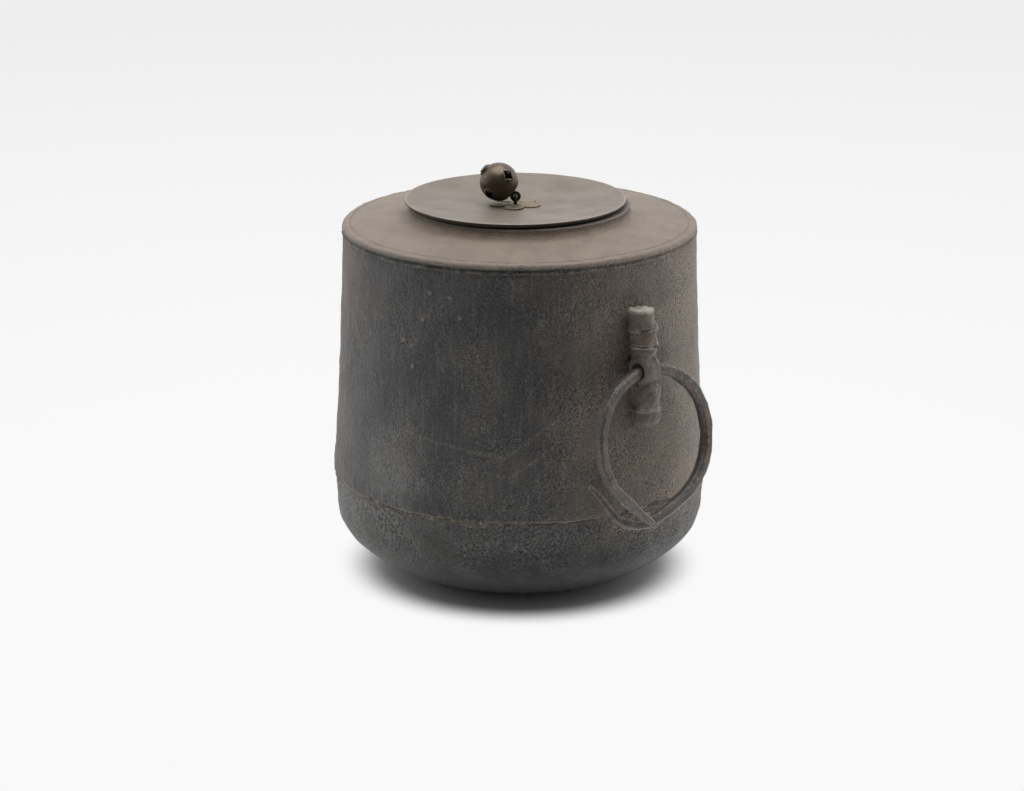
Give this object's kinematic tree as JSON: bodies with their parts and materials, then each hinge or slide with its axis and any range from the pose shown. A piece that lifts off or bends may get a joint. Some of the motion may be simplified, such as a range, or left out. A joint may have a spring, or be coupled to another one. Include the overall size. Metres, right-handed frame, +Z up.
{
  "type": "tea ceremony kettle",
  "caption": "Spoutless cast-iron tea-ceremony kettle: flared body luted to a rounded bowl, bamboo-stalk lugs with open carrying rings, dished bronze lid with a pierced lolling ball knob.",
  "frame": {"origin": "centre of the flat base, on the kettle's axis, at the surface it stands on", "axes": "+Z up along the kettle's axis, +X through the right lug"},
  "size_m": [0.228, 0.193, 0.2138],
  "materials": {
    "wall_iron": "rough cast skin, matt, brown-black",
    "bowl_iron": "coarse pitted cast skin, matt",
    "lug_iron": "smoother cast skin, matt",
    "forged_iron": "forged and rubbed, satin edges",
    "lacquer_putty": "matt lacquer putty",
    "lid_bronze": "satin grey-brown patina",
    "petal_bronze": "satin golden-brown",
    "knob_bronze": "dark glossy patina"
  },
  "bodies": {
    "kettle": {"kettle_bottom": "bowl_iron", "seam_putty": "lacquer_putty", "kettle_wall": "wall_iron", "sounding_plates": "forged_iron", "lug_right": "lug_iron", "lug_left": "lug_iron"},
    "lid": {"lid_plate": "lid_bronze", "lid_band": "lid_bronze", "knob_seat": "petal_bronze", "knob_staple": "knob_bronze", "staple_washer": "lid_bronze"},
    "knob": {"knob_eye_pin": "knob_bronze", "knob_ball": "knob_bronze", "knob_cap": "knob_bronze"},
    "ring_right": {"ring_right": "forged_iron"},
    "ring_left": {"ring_left": "forged_iron"}
  },
  "joints": [
    {"name": "lid_lift", "type": "slide", "parent": "kettle", "child": "lid", "axis": [0, 0, 1], "range_m": [0, 0.12]},
    {"name": "knob_loll", "type": "hinge", "parent": "lid", "child": "knob", "pos_m": [-0.00134, -0.00162, 0.19703], "axis": [-0.7716, 0.6361, 0], "range_deg": [0, 99.2]},
    {"name": "ring_right_swing", "type": "hinge", "parent": "kettle", "child": "ring_right", "pos_m": [0.09827, 0, 0.12748], "axis": [0.061, -0.9981, 0], "range_deg": [0, 172]},
    {"name": "ring_left_swing", "type": "hinge", "parent": "kettle", "child": "ring_left", "pos_m": [-0.09827, 0, 0.12748], "axis": [-0.061, 0.9981, 0], "range_deg": [0, 172]}
  ]
}
